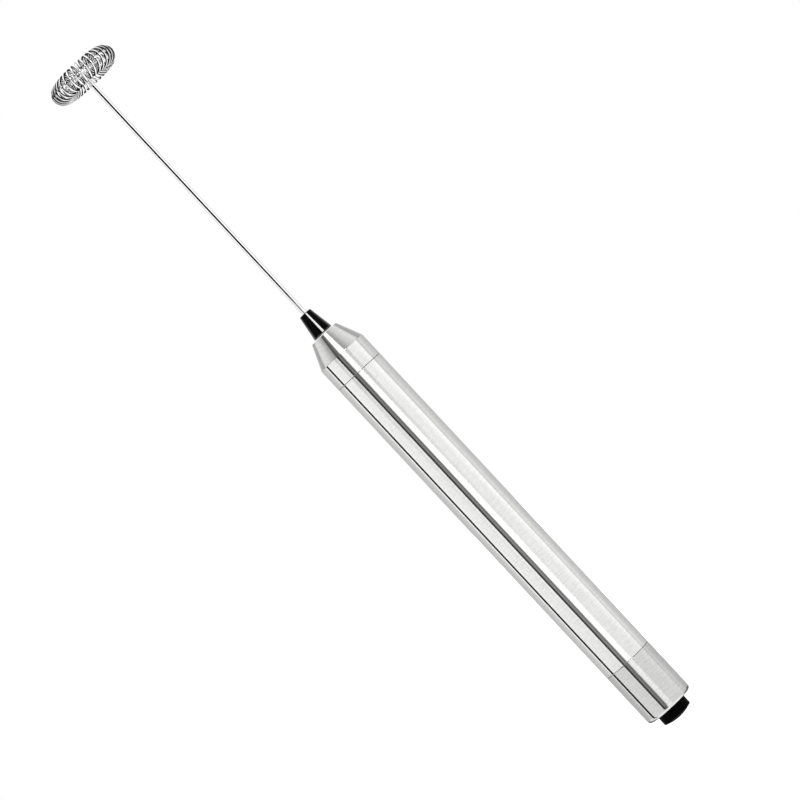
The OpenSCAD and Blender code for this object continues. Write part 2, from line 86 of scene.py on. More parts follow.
# Whisk: the coupling's radius at the wire, and the radii of the two wires
COUPLING_NARROW = 2.25 * MM
WIRE_R = 0.9 * MM
COIL_WIRE_R = 0.375 * MM
COIL_TURNS = 34

# End cap and button: floor, rounded rim, gap round the button, and the button's inner flange
CAP_FLOOR = 1.0 * MM
CAP_RIM = 1.4 * MM
BUTTON_GAP = 0.12 * MM
FLANGE_HEIGHT = 1.2 * MM
FLANGE_LEDGE = 1.0 * MM
BUTTON_WIRE_R = 0.22 * MM

# Plug and cells: radii of the bores and wires, the cell's film, and the gap between pieces pushed together
PLUG_BORE = 6.6 * MM
SLEEVE_BORE = 7.35 * MM
O_RING_R = 0.45 * MM
BATTERY_WIRE_R = 0.4 * MM
JACKET = 0.12 * MM
FIT = 0.05 * MM

# The camera stands about level with the middle of the frother, rolled so that it runs across the picture.
# Angles are in degrees. It aims at a share of the whole height, a little aside of the axis, where the
# picture is FRAME_WIDTH wide.
CAMERA_LENS = 188.6
CAMERA_SENSOR = 36
CAMERA_ELEVATION = -0.74
CAMERA_ROLL = 42.95
FRAME_WIDTH = 257.9 * MM
AIM_HEIGHT = 0.475
AIM_ASIDE = 3.42 * MM

FLOOR_Z = cad_low.z - 50 * MM
FLOOR_RADIUS = 6.0

# ---- Camera, floor and light ----

def make_camera():
    """A long lens far away, rolled so that the handle runs across the picture."""
    elevation = math.radians(CAMERA_ELEVATION)
    roll = math.radians(CAMERA_ROLL)
    back = Vector((0, -math.cos(elevation), math.sin(elevation)))
    axis_up = (Vector((0, 0, 1)) - back * back.z).normalized()
    aside = axis_up.cross(back)
    up = axis_up * math.cos(roll) + aside * math.sin(roll)
    right = aside * math.cos(roll) - axis_up * math.sin(roll)
    distance = FRAME_WIDTH * CAMERA_LENS / CAMERA_SENSOR
    target = Vector((0, 0, cad_low.z + (cad_high.z - cad_low.z) * AIM_HEIGHT)) + aside * AIM_ASIDE
    data = bpy.data.cameras.new("camera")
    data.lens = CAMERA_LENS
    data.sensor_width = CAMERA_SENSOR
    data.clip_start = 0.01
    data.clip_end = 100
    camera = bpy.data.objects.new("camera", data)
    bpy.context.scene.collection.objects.link(camera)
    turn = Matrix((right, up, back)).transposed().to_4x4()
    camera.matrix_world = Matrix.Translation(target + back * distance) @ turn
    bpy.context.scene.camera = camera


def ramp(nodes, links, stops, source):
    """A colour ramp of grey levels. stops are (position from 0 to 1, level)."""
    node = nodes.new("ShaderNodeValToRGB")
    elements = node.color_ramp.elements
    while len(elements) > 1:
        elements.remove(elements[-1])
    elements[0].position = stops[0][0]
    elements[0].color = (stops[0][1],) * 3 + (1,)
    for position, level in stops[1:]:
        elements.new(position).color = (level,) * 3 + (1,)
    links.new(source, node.inputs["Fac"])
    return node.outputs["Color"]


def feed(links, socket, value):
    """Links another node's output to a socket, or sets a constant on it."""
    if isinstance(value, bpy.types.NodeSocket):
        links.new(value, socket)
    else:
        socket.default_value = value


def math_node(nodes, links, operation, *values):
    """A Math node. Each value is a socket or a number."""
    node = nodes.new("ShaderNodeMath")
    node.operation = operation
    for socket, value in zip(node.inputs, values):
        feed(links, socket, value)
    return node.outputs["Value"]


def mix_node(nodes, links, factor, first, second, blend="MIX"):
    """A colour mix. The factor and both colours are sockets or constants."""
    node = nodes.new("ShaderNodeMix")
    node.data_type = "RGBA"
    node.blend_type = blend
    for index, value in ((0, factor), (6, first), (7, second)):
        feed(links, node.inputs[index], value)
    return node.outputs[2]


# Softboxes, flags and gaps round the object, as (compass angle in degrees, brightness).
# 0 is in front and 90 is at +X. What a surface mirrors depends on how far it leans:
# the handle sees LOW_BANDS, its cap CAP_BANDS, the wire FLAG_BANDS, the coupling DARK_BANDS
# and the nose HIGH_BANDS. From above, the handle sees ROOM_BANDS. No brightness passes STUDIO_LEVEL.
STUDIO_LEVEL = 2.0
LOW_BANDS = [
    (-180, 0.1), (-176, 0.7), (-150, 0.62), (-107, 0.8), (-103.5, 1.3), (-99.3, 1.3),
    (-98.6, 0.01), (-88.4, 0.01), (-87, 1.35), (-78, 1.12), (-40, 1.08), (-34, 1.25),
    (-29.5, 1.25), (-28.7, 0.02), (-23, 0.04), (-19.5, 0.3), (-15, 0.38), (-12, 0.2),
    (-8.5, 0.18), (-3, 1.9), (14, 1.9), (18, 1.1), (55, 1.08), (84, 1.35), (87, 0.95),
    (91, 0.84), (100, 1.0), (112, 0.8), (150, 0.62), (176, 0.6), (180, 0.1),
]
CAP_BANDS = [(angle, min(level, 0.98)) for angle, level in LOW_BANDS]
FLAG_BANDS = [
    (-180, 0.6), (-110, 1.0), (-98, 1.0), (-96, 0.02), (-89, 0.02), (-86, 1.25), (-46, 1.25),
    (-43, 0.0), (29, 0.0), (32, 1.3), (84, 1.25), (90, 0.4), (100, 0.4), (110, 1.0), (180, 0.6),
]
DARK_BANDS = [(-180, 0.6), (-125, 0.5), (-95, 0.02), (95, 0.02), (125, 0.5), (180, 0.6)]
HIGH_BANDS = [
    (-180, 0.8), (-120, 1.0), (-80, 0.9), (-60, 0.68), (-50, 0.55), (-38, 0.44), (-36, 0.14),
    (-27, 0.1), (-20, 0.2), (-12, 0.2), (-9, 0.8), (-6, 1.5), (20, 1.5), (23, 0.42), (30, 0.46),
    (45, 0.58), (60, 0.78), (100, 1.0), (125, 0.8), (180, 0.8),
]
ROOM_BANDS = [
    (-180, 0.5), (-158, 0.2), (-138, 0.25), (-130, 1.0), (-100, 1.2), (-98, 0.05), (-89, 0.05),
    (-86, 1.15), (-40, 1.0), (-31, 1.0), (-28, 0.05), (-20, 0.1), (-11, 0.2), (-5, 1.3), (14, 1.3),
    (20, 1.0), (80, 1.0), (84, 1.2), (90, 0.9), (118, 0.8), (126, 0.25), (152, 0.2), (165, 0.5),
    (180, 0.5),
]
# Each zone is (elevation where it starts, elevation from where it holds, bands) and covers those before it
ZONES = [
    (-3.5, -4.0, CAP_BANDS), (-7, -11, ROOM_BANDS), (2.35, 2.6, FLAG_BANDS), (10, 12, DARK_BANDS),
    (25, 29, HIGH_BANDS), (58, 68, [(-180, 1.6), (180, 1.6)]),
]
# Below the first elevation the studio is evenly bright, and it fades out up to the second
UNDER_FROM, UNDER_TO, UNDER_LEVEL = -50.0, -40.0, 1.3
# The small strong softbox: its compass angles, its elevations, its brightness and its soft edge in degrees
HIGHLIGHT_FROM, HIGHLIGHT_TO = 3.0, 26.0
HIGHLIGHT_LOW, HIGHLIGHT_HIGH = 16.0, 24.0
HIGHLIGHT_LEVEL, HIGHLIGHT_EDGE = 14.0, 1.0


def on_compass(stops):
    """Stops in degrees as ramp positions."""
    return [((angle + 180) / 360, level / STUDIO_LEVEL) for angle, level in stops]


def on_height(stops):
    """Stops in degrees of elevation as ramp positions."""
    return [((angle + 90) / 180, level) for angle, level in stops]


def compass_and_height(nodes, links):
    """The world direction as two values from 0 to 1: the way round from behind, and the rise from below."""
    direction = nodes.new("ShaderNodeTexCoord").outputs["Generated"]
    split = nodes.new("ShaderNodeSeparateXYZ")
    links.new(direction, split.inputs[0])
    x, y, z = split.outputs
    forward = math_node(nodes, links, "MULTIPLY", y, -1.0)
    turn = math_node(nodes, links, "ARCTAN2", x, forward)
    compass = math_node(nodes, links, "MULTIPLY_ADD", turn, 1 / (2 * math.pi), 0.5)
    rise = math_node(nodes, links, "ARCSINE", z)
    height = math_node(nodes, links, "MULTIPLY_ADD", rise, 1 / math.pi, 0.5)
    return compass, height


def studio_levels(nodes, links, compass, height):
    """The bands of each zone, laid over each other, and an even level far below."""
    levels = ramp(nodes, links, on_compass(LOW_BANDS), compass)
    for start, end, bands in ZONES:
        share = ramp(nodes, links, on_height([(start, 0), (end, 1)]), height)
        levels = mix_node(nodes, links, share, levels, ramp(nodes, links, on_compass(bands), compass))
    share = ramp(nodes, links, on_height([(UNDER_FROM, 1), (UNDER_TO, 0)]), height)
    under = ramp(nodes, links, on_compass([(0, UNDER_LEVEL)]), compass)
    return mix_node(nodes, links, share, levels, under)


def highlight(nodes, links, compass, height):
    """One small strong softbox, which draws the streak on the coupling."""
    across = ramp(nodes, links, on_compass([
        (HIGHLIGHT_FROM - HIGHLIGHT_EDGE, 0), (HIGHLIGHT_FROM, STUDIO_LEVEL),
        (HIGHLIGHT_TO, STUDIO_LEVEL), (HIGHLIGHT_TO + HIGHLIGHT_EDGE, 0)
    ]), compass)
    along = ramp(nodes, links, on_height([
        (HIGHLIGHT_LOW - HIGHLIGHT_EDGE, 0), (HIGHLIGHT_LOW, 1),
        (HIGHLIGHT_HIGH, 1), (HIGHLIGHT_HIGH + HIGHLIGHT_EDGE, 0)
    ]), height)
    strip = math_node(nodes, links, "MULTIPLY", across, along)
    return math_node(nodes, links, "MULTIPLY", strip, HIGHLIGHT_LEVEL / STUDIO_LEVEL)


def make_world():
    """A studio of softboxes and dark gaps, drawn on the world so that no card stands in a view."""
    world = bpy.data.worlds.new("studio")
    bpy.context.scene.world = world
    world.use_nodes = True
    nodes, links = world.node_tree.nodes, world.node_tree.links
    nodes.clear()
    compass, height = compass_and_height(nodes, links)
    levels = studio_levels(nodes, links, compass, height)
    glow = highlight(nodes, links, compass, height)
    lit = nodes.new("ShaderNodeBackground")
    links.new(mix_node(nodes, links, 1.0, levels, glow, blend="ADD"), lit.inputs["Color"])
    lit.inputs["Strength"].default_value = STUDIO_LEVEL
    seen = nodes.new("ShaderNodeBackground")
    seen.inputs["Color"].default_value = (1, 1, 1, 1)
    path = nodes.new("ShaderNodeLightPath")
    choice = nodes.new("ShaderNodeMixShader")
    links.new(path.outputs["Is Camera Ray"], choice.inputs["Fac"])
    links.new(lit.outputs[0], choice.inputs[1])
    links.new(seen.outputs[0], choice.inputs[2])
    output = nodes.new("ShaderNodeOutputWorld")
    links.new(choice.outputs[0], output.inputs["Surface"])


def make_floor():
    """A plain pale floor below the end cap's travel, which the steel doesn't mirror."""
    segments = 96
    mesh = bpy.data.meshes.new("floor")
    rim = [
        (FLOOR_RADIUS * math.cos(a), FLOOR_RADIUS * math.sin(a), FLOOR_Z)
        for a in np.linspace(0, 2 * math.pi, segments, endpoint=False)
    ]
    mesh.from_pydata(rim, [], [list(range(segments))])
    floor = bpy.data.objects.new("floor", mesh)
    bpy.context.scene.collection.objects.link(floor)
    floor.visible_glossy = False
    mat = bpy.data.materials.new("floor_white")
    mat.use_nodes = True
    bsdf = mat.node_tree.nodes["Principled BSDF"]
    bsdf.inputs["Base Color"].default_value = (0.93, 0.93, 0.93, 1)
    bsdf.inputs["Roughness"].default_value = 0.9
    bsdf.inputs["Specular IOR Level"].default_value = 0.0
    mesh.materials.append(mat)


def make_sun():
    """A wide soft sun for the floor and the plastics, kept out of the steel's reflections."""
    data = bpy.data.lights.new("overhead", "SUN")
    data.angle = math.radians(80)
    data.energy = 2.2
    sun = bpy.data.objects.new("overhead", data)
    bpy.context.scene.collection.objects.link(sun)
    sun.rotation_euler = (math.radians(18), math.radians(12), 0)
    sun.visible_glossy = False
    sun.visible_camera = False


# ---- Materials ----

def new_material(name, colour, metallic, roughness):
    """A material with one Principled shader whose constant values are set on its sockets."""
    mat = bpy.data.materials.new(name)
    mat.use_nodes = True
    bsdf = mat.node_tree.nodes["Principled BSDF"]
    bsdf.inputs["Base Color"].default_value = (*colour, 1)
    bsdf.inputs["Metallic"].default_value = metallic
    bsdf.inputs["Roughness"].default_value = roughness
    return mat, bsdf


def noise(mat, scale, detail=3.0, rough=0.6):
    """Noise over the object's own coordinates. scale is in cells per metre along x, y and z."""
    nodes, links = mat.node_tree.nodes, mat.node_tree.links
    place = nodes.new("ShaderNodeTexCoord")
    mapping = nodes.new("ShaderNodeMapping")
    mapping.inputs["Scale"].default_value = scale
    texture = nodes.new("ShaderNodeTexNoise")
    texture.inputs["Scale"].default_value = 1.0
    texture.inputs["Detail"].default_value = detail
    texture.inputs["Roughness"].default_value = rough
    links.new(place.outputs["Object"], mapping.inputs["Vector"])
    links.new(mapping.outputs["Vector"], texture.inputs["Vector"])
    return texture.outputs["Fac"]


def spread(mat, source, low, high):
    """Stretches a noise of about 0.3 to 0.7 over low to high."""
    node = mat.node_tree.nodes.new("ShaderNodeMapRange")
    node.inputs["From Min"].default_value = 0.3
    node.inputs["From Max"].default_value = 0.7
    node.inputs["To Min"].default_value = low
    node.inputs["To Max"].default_value = high
    mat.node_tree.links.new(source, node.inputs["Value"])
    return node.outputs["Result"]


def shade(mat, bsdf, source, colour, dark, light):
    """Varies the base colour from dark to light times colour along a noise."""
    nodes, links = mat.node_tree.nodes, mat.node_tree.links
    darker = (*(c * dark for c in colour), 1)
    lighter = (*(min(c * light, 1) for c in colour), 1)
    varied = mix_node(nodes, links, spread(mat, source, 0, 1), darker, lighter)
    links.new(varied, bsdf.inputs["Base Color"])


def vary_roughness(mat, bsdf, source, low, high):
    """Varies the roughness from low to high along a noise."""
    mat.node_tree.links.new(spread(mat, source, low, high), bsdf.inputs["Roughness"])


def relief(mat, bsdf, source, depth):
    """Bump of a given depth in metres along a noise."""
    nodes, links = mat.node_tree.nodes, mat.node_tree.links
    bump = nodes.new("ShaderNodeBump")
    bump.inputs["Strength"].default_value = 1.0
    bump.inputs["Distance"].default_value = depth
    links.new(source, bump.inputs["Height"])
    links.new(bump.outputs["Normal"], bsdf.inputs["Normal"])


def brushed_steel(name, level, roughness, depth):
    """Steel brushed round its axis: fine lines across the handle, and a coarser mottle of light and dark."""
    colour = (level, level * 0.998, level * 0.99)
    mat, bsdf = new_material(name, colour, 1.0, roughness)
    fine = noise(mat, (90, 90, 7000))
    coarse = noise(mat, (420, 420, 2200), detail=5.0, rough=0.75)
    shade(mat, bsdf, coarse, colour, 0.88, 1.07)
    vary_roughness(mat, bsdf, fine, roughness * 0.8, roughness * 1.25)
    relief(mat, bsdf, fine, depth)
    bsdf.inputs["Anisotropic"].default_value = 0.8
    bsdf.inputs["Anisotropic Rotation"].default_value = 0.25
    tangent = mat.node_tree.nodes.new("ShaderNodeTangent")
    tangent.direction_type = "RADIAL"
    tangent.axis = "Z"
    mat.node_tree.links.new(tangent.outputs[0], bsdf.inputs["Tangent"])
    return mat


def polished_metal(name, colour, roughness, grain=900.0):
    """Smooth metal with a faint drawn grain."""
    mat, bsdf = new_material(name, colour, 1.0, roughness)
    source = noise(mat, (grain, grain, grain * 0.4))
    shade(mat, bsdf, source, colour, 0.92, 1.04)
    vary_roughness(mat, bsdf, source, roughness * 0.7, roughness * 1.4)
    return mat


# Painted shade on the coil's wire: it keeps this share of its brightness where its turns face each other,
# standing in for the shade between the turns. It darkens as the cosine between its surface's normal and the
# way round the ring goes from the first value to the second.
GROOVE_SHADE_LEVEL = 0.06
GROOVE_FROM, GROOVE_TO = 0.5, 0.8


def facing_next_turn(nodes, links):
    """How far the surface faces the way round the Z axis, from 0 to 1."""
    place = nodes.new("ShaderNodeTexCoord")
    along = nodes.new("ShaderNodeVectorMath")
    along.operation = "CROSS_PRODUCT"
    along.inputs[0].default_value = (0, 0, 1)
    links.new(place.outputs["Object"], along.inputs[1])
    unit = nodes.new("ShaderNodeVectorMath")
    unit.operation = "NORMALIZE"
    links.new(along.outputs["Vector"], unit.inputs[0])
    facing = nodes.new("ShaderNodeVectorMath")
    facing.operation = "DOT_PRODUCT"
    links.new(unit.outputs["Vector"], facing.inputs[0])
    links.new(place.outputs["Normal"], facing.inputs[1])
    return math_node(nodes, links, "ABSOLUTE", facing.outputs["Value"])


def coil_metal_with_painted_shade(name, colour, roughness):
    """Bright wire with painted shade down in the grooves, where each turn faces the next, in its base colour
    and specular tint.
    """
    mat, bsdf = new_material(name, colour, 1.0, roughness)
    nodes, links = mat.node_tree.nodes, mat.node_tree.links
    groove = nodes.new("ShaderNodeMapRange")
    groove.interpolation_type = "SMOOTHSTEP"
    groove.inputs["From Min"].default_value = GROOVE_FROM
    groove.inputs["From Max"].default_value = GROOVE_TO
    links.new(facing_next_turn(nodes, links), groove.inputs["Value"])
    # Painted shade: the wire's colour, darkened where each turn faces the next
    dark = (*(c * GROOVE_SHADE_LEVEL for c in colour), 1)
    shaded_wire_colour = mix_node(nodes, links, groove.outputs["Result"], (*colour, 1), dark)
    links.new(shaded_wire_colour, bsdf.inputs["Base Color"])
    # The painted shade also darkens the metal's specular tint
    links.new(shaded_wire_colour, bsdf.inputs["Specular Tint"])
    vary_roughness(mat, bsdf, noise(mat, (2500.0, 2500.0, 1000.0)), roughness * 0.7, roughness * 1.4)
    return mat


def moulded_plastic(name, colour, roughness, depth=0.004 * MM, grain=4000.0, gloss=0.5):
    """Plastic with a fine spark-eroded texture."""
    mat, bsdf = new_material(name, colour, 0.0, roughness)
    bsdf.inputs["Specular IOR Level"].default_value = gloss
    source = noise(mat, (grain, grain, grain), detail=2.0)
    shade(mat, bsdf, source, colour, 0.9, 1.1)
    vary_roughness(mat, bsdf, source, roughness * 0.85, roughness * 1.15)
    relief(mat, bsdf, source, depth)
    return mat


MATERIALS = {
    "tube_steel": brushed_steel("tube_steel", 0.78, 0.10, 0.0004 * MM),
    "cap_steel": brushed_steel("cap_steel", 0.64, 0.11, 0.0004 * MM),
    "nose_steel": brushed_steel("nose_steel", 0.76, 0.08, 0.0003 * MM),
    "wire_steel": polished_metal("wire_steel", (0.92, 0.92, 0.92), 0.04),
    # The coil's wire carries painted shade between its turns
    "coil_steel": coil_metal_with_painted_shade("coil_steel", (0.96, 0.96, 0.96), 0.04),
    "black_plastic": moulded_plastic("black_plastic", (0.002, 0.002, 0.002), 0.08, 0.0002 * MM, gloss=0.8),
    "button_plastic": moulded_plastic("button_plastic", (0.001, 0.001, 0.001), 0.36, gloss=0.015),
    "rubber": moulded_plastic("rubber", (0.02, 0.02, 0.02), 0.62),
    "grey_plastic": moulded_plastic("grey_plastic", (0.10, 0.10, 0.105), 0.40),
    "white_plastic": moulded_plastic("white_plastic", (0.78, 0.77, 0.73), 0.38),
    "brown_board": moulded_plastic("brown_board", (0.25, 0.11, 0.05), 0.45),
    "brass": polished_metal("brass", (0.80, 0.58, 0.28), 0.26),
    "bronze": polished_metal("bronze", (0.52, 0.34, 0.18), 0.48, 6000.0),
    "copper": polished_metal("copper", (0.78, 0.34, 0.18), 0.30, 5000.0),
    "spring_steel": polished_metal("spring_steel", (0.74, 0.74, 0.74), 0.16, 2500.0),
    "plated_steel": polished_metal("plated_steel", (0.62, 0.63, 0.65), 0.28, 1500.0),
    "core_steel": polished_metal("core_steel", (0.22, 0.23, 0.25), 0.40, 3000.0),
    "ferrite": moulded_plastic("ferrite", (0.05, 0.05, 0.052), 0.55),
    "carbon": moulded_plastic("carbon", (0.02, 0.02, 0.02), 0.50),
    "lead_sleeve": moulded_plastic("lead_sleeve", (0.015, 0.015, 0.015), 0.35),
    "cell_jacket": moulded_plastic("cell_jacket", (0.014, 0.10, 0.055), 0.24, 0.001 * MM),
    "cell_steel": polished_metal("cell_steel", (0.72, 0.72, 0.70), 0.20, 1500.0),
}
SLOT_OF = {entry["node"]: entry["material_slot"] for entry in frame["record"]["subparts"]}


def dress_frame():
    """Gives every CAD node the material of its slot."""
    for node, obj in frame["nodes"].items():
        obj.data.materials.clear()
        obj.data.materials.append(MATERIALS[SLOT_OF[node]])


# ---- Mesh helpers ----

def add_piece(name, vertices, faces, node, body, smooth_angle=40.0):
    """A mesh that stands for a CAD node, takes its slot and rides on its body."""
    mesh = bpy.data.meshes.new(name)
    mesh.from_pydata(vertices, [], faces)
    mesh.validate()
    mesh.shade_smooth()
    mesh.set_sharp_from_angle(angle=math.radians(smooth_angle))
    mesh.materials.append(MATERIALS[SLOT_OF[node]])
    piece = bpy.data.objects.new(name, mesh)
    bpy.context.scene.collection.objects.link(piece)
    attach(piece, body)
    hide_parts(node)
    return piece


def rounded(corners, steps=6, guard=1.6):
    """A closed outline of (radius, height) points from corners of (radius, height, fillet).

    A point on each side, guard times as far from the corner as the fillet, keeps the flats' shading even.
    """
    points = []
    for i, (r, z, fillet) in enumerate(corners):
        here = Vector((r, z))
        if fillet == 0:
            points.append(here)
            continue
        back = (Vector(corners[i - 1][:2]) - here).normalized()
        ahead = (Vector(corners[(i + 1) % len(corners)][:2]) - here).normalized()
        half = back.angle(ahead) / 2
        reach = fillet / math.tan(half)
        centre = here + (back + ahead).normalized() * (fillet / math.sin(half))
        start = here + back * reach - centre
        end = here + ahead * reach - centre
        sweep_angle = start.angle(end)
        points.append(here + back * reach * guard)
        for k in range(steps + 1):
            share = k / steps
            arc = start * math.sin((1 - share) * sweep_angle) + end * math.sin(share * sweep_angle)
            points.append(centre + arc / math.sin(sweep_angle))
        points.append(here + ahead * reach * guard)
    return points


def lathe(name, corners, node, body, sides=192):
    """Turns a closed outline about Z. Points on the axis become poles."""
    outline = rounded(corners)
    vertices, rows = [], []
    angles = np.linspace(0, 2 * math.pi, sides, endpoint=False)
    for r, z in outline:
        if r < 1e-9:
            rows.append([len(vertices)] * sides)
            vertices.append((0, 0, z))
            continue
        rows.append(list(range(len(vertices), len(vertices) + sides)))
        vertices += [(r * math.cos(a), r * math.sin(a), z) for a in angles]
    faces = []
    for first, second in zip(rows, rows[1:] + rows[:1]):
        for k in range(sides):
            n = (k + 1) % sides
            corner_ids = [first[k], first[n], second[n], second[k]]
            face = list(dict.fromkeys(corner_ids))
            if len(face) > 2:
                faces.append(face)
    return add_piece(name, vertices, faces, node, body)


def sweep(name, path, across, radius, node, body, sides=16, closed=False):
    """A round wire along a path. across gives, for each point, a direction that isn't along the path."""
    path, across = np.array(path), np.array(across)
    if closed:
        along = np.roll(path, -1, axis=0) - np.roll(path, 1, axis=0)
    else:
        along = np.gradient(path, axis=0)
    along /= np.linalg.norm(along, axis=1)[:, None]
    side = across - along * np.sum(across * along, axis=1)[:, None]
    side /= np.linalg.norm(side, axis=1)[:, None]
    other = np.cross(along, side)
    angles = np.linspace(0, 2 * math.pi, sides, endpoint=False)
    rings = path[:, None, :] + radius * (
        np.cos(angles)[None, :, None] * side[:, None, :] + np.sin(angles)[None, :, None] * other[:, None, :]
    )
    count = len(path)
    faces = []
    for i in range(count if closed else count - 1):
        a, b = i * sides, (i + 1) % count * sides
        for k in range(sides):
            n = (k + 1) % sides
            faces.append([a + k, a + n, b + n, b + k])
    if not closed:
        faces.append(list(range(sides))[::-1])
        faces.append([(count - 1) * sides + k for k in range(sides)])
    return add_piece(name, rings.reshape(-1, 3).tolist(), faces, node, body)


def size_of(node):
    """(largest radius, lowest height, highest height) of a turned CAD node."""
    low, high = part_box(node)
    return max(high.x, high.y), low.z, high.z


# ---- Handle ----

def make_tube():
    """The plain tube with eased edges."""
    r, z0, z1 = size_of("main_tube")
    bore = r - TUBE_WALL
    edge, inner_edge = 0.10 * MM, 0.04 * MM
    lathe("main_tube_turned", [
        (r, z0, edge), (r, z1, edge), (bore, z1, inner_edge), (bore, z0, inner_edge)
    ], "main_tube", "handle", sides=256)


def make_nose():
    """The nose: a straight collar, a cone and a flat front with the hole for the shaft."""
    r, z0, z1 = size_of("nose_cap")
    bore = r - SHELL_WALL
    shoulder = z0 + COLLAR_HEIGHT
    front_wall = 1.0 * MM
    inner_front = z1 - front_wall
    cone_bore = CONE_FRONT - SHELL_WALL * 0.7
    lathe("nose_cap_turned", [
        (r, z0, 0.10 * MM), (r, shoulder, 0.25 * MM), (CONE_FRONT, z1, 0.22 * MM),
        (FRONT_HOLE, z1, 0.08 * MM), (FRONT_HOLE, inner_front, 0.03 * MM),
        (cone_bore, inner_front, 0.1 * MM), (bore, shoulder, 0.2 * MM), (bore, z0, 0.04 * MM)
    ], "nose_cap", "handle", sides=256)


def make_coupling():
    """The tapered coupling, with a short straight foot and the mouth of the wire's socket."""
    r, z0, z1 = size_of("shaft_coupling")
    bore_depth, foot = 0.5 * MM, 0.35 * MM
    wire_bore = WIRE_R + 0.02 * MM
    lathe("shaft_coupling_turned", [
        (0, z0, 0), (r, z0, 0.10 * MM), (r, z0 + foot, 0.1 * MM),
        (COUPLING_NARROW, z1, 0.22 * MM), (wire_bore, z1, 0.06 * MM),
        (wire_bore, z1 - bore_depth, 0.05 * MM), (0, z1 - bore_depth, 0)
    ], "shaft_coupling", "whisk")


# ---- Whisk ----

def arc(centre, u, v, radius, sweep_deg, steps, first=0):
    """Points of an arc about a centre that turns from direction u towards direction v."""
    centre, u, v = np.array(centre), np.array(u), np.array(v)
    angles = np.radians(sweep_deg) * np.arange(first, steps + 1) / steps
    return [centre + radius * (math.cos(a) * u + math.sin(a) * v) for a in angles]


def make_whisk_wire():
    """One wire: the long shaft, its elbow, the spoke, a corner and the hoop inside the coil."""
    low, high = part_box("whisk_wire")
    coil_low, coil_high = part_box("whisk_coil")
    plane = (coil_low.z + coil_high.z) / 2
    hoop = high.x - WIRE_R
    elbow_r, corner_r, end_gap = 2.0 * MM, 1.2 * MM, 9.0
    corner_x = math.sqrt((hoop - corner_r) ** 2 - corner_r**2)
    start = math.atan2(corner_r, corner_x)
    corner = np.array((corner_x, corner_r, plane))
    centre = np.array((0, 0, plane))
    elbow_path = arc((elbow_r, 0, plane - elbow_r), (-1, 0, 0), (0, 0, 1), elbow_r, 90, 16)
    corner_path = arc(corner, (0, -1, 0), (1, 0, 0), corner_r, 90 + math.degrees(start), 16)
    hoop_path = arc(
        centre,
        (math.cos(start), math.sin(start), 0),
        (-math.sin(start), math.cos(start), 0),
        hoop,
        360 - end_gap - math.degrees(start),
        160,
        first=1,
    )
    stem = [np.array((0, 0, z)) for z in np.linspace(low.z, plane - elbow_r, 12)[:-1]]
    path = stem + elbow_path + corner_path + hoop_path
    across = [np.array((0, 1, 0))] * (len(stem) + len(elbow_path))
    across += [corner - p for p in corner_path] + [centre - p for p in hoop_path]
    sweep("whisk_wire_drawn", path, across, WIRE_R, "whisk_wire", "whisk", sides=20)


def make_whisk_coil():
    """A coil bent into a ring, with slightly uneven turns and one wide turn over the spoke."""
    low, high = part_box("whisk_coil")
    coil_r = (high.z - low.z) / 2 - COIL_WIRE_R
    ring_r = high.x - coil_r - COIL_WIRE_R
    plane = (low.z + high.z) / 2
    # Degrees round the ring: the wide turn, its middle, and how far the other turns stray
    wide_turn, spoke_side, uneven = 30.0, 2.0, 1.1
    steps, slack = 36, 0.012
    rng = np.random.default_rng(SEED)
    even = (360 - wide_turn) / (COIL_TURNS - 1)
    turn_ends = np.append(-wide_turn / 2, wide_turn / 2 + even * np.arange(COIL_TURNS))
    turn_ends[2:-1] += rng.uniform(-uneven, uneven, COIL_TURNS - 2)
    swell = np.append(rng.uniform(-slack, 0.0, COIL_TURNS), 0.0)
    swell[-1] = swell[0]
    turns = np.arange(COIL_TURNS * steps) / steps
    ends = np.arange(COIL_TURNS + 1)
    around = np.radians(np.interp(turns, ends, turn_ends) + spoke_side)
    size = coil_r * (1 + np.interp(turns, ends, swell))
    # Each turn starts on the inside of the ring
    turned = np.pi + turns * 2 * np.pi
    outward = np.stack([
        np.cos(around) * np.cos(turned), np.sin(around) * np.cos(turned), np.sin(turned)
    ], axis=1)
    ring = np.stack([ring_r * np.cos(around), ring_r * np.sin(around), np.full(len(turns), plane)], axis=1)
    sweep("whisk_coil_wound", ring + size[:, None] * outward, outward, COIL_WIRE_R,
          "whisk_coil", "whisk", sides=10, closed=True)


# ---- End cap and button ----

def make_cap():
    """The end cap's cup, with a well rounded rim and the hole for the button."""
    r, z0, z1 = size_of("end_cap_shell")
    bore = r - SHELL_WALL
    hole = size_of("button")[0] - FLANGE_LEDGE + BUTTON_GAP
    lathe("end_cap_turned", [
        (hole, z0, 0.12 * MM), (r, z0, CAP_RIM), (r, z1, 0.10 * MM), (bore, z1, 0.04 * MM),
        (bore, z0 + CAP_FLOOR, 0.15 * MM), (hole, z0 + CAP_FLOOR, 0.05 * MM)
    ], "end_cap_shell", "end_cap", sides=256)


def o_ring_places():
    """The outer radius of the O-rings, and the heights of their planes."""
    outer, low, high = size_of("cap_o_rings")
    return outer, {"low": low + O_RING_R, "high": high - O_RING_R}


